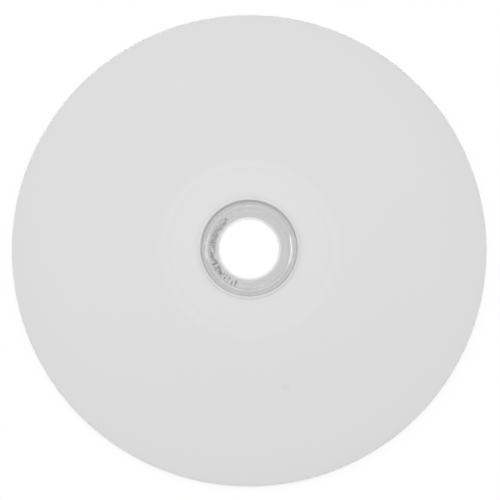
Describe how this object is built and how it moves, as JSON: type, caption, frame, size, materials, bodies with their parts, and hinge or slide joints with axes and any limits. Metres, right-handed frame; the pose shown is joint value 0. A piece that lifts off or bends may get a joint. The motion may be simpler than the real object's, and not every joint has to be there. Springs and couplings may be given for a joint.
{
  "type": "compact disc",
  "caption": "Flat round optical disc with a clear moulded hub and centre hole, lying with its plain white printable face up.",
  "frame": {"origin": "on the disc's axis, in the plane that it rests on, which is the crest of the stacking ring on the reading side", "axes": "+Z along the disc's axis, out of the white label side; the disc is a body of revolution, so X and Y are free, and +Y points away from the camera of the picture"},
  "size_m": [0.12, 0.12, 0.0015],
  "materials": {
    "clear_polycarbonate": "clear, polished by the mould",
    "silver_film": "mirror-like metal film behind a faint dye tint",
    "white_print_coat": "matt white, ink receptive"
  },
  "bodies": {
    "root": {"substrate": "clear_polycarbonate", "reflective_layer": "silver_film", "print_coat": "white_print_coat"}
  },
  "joints": []
}
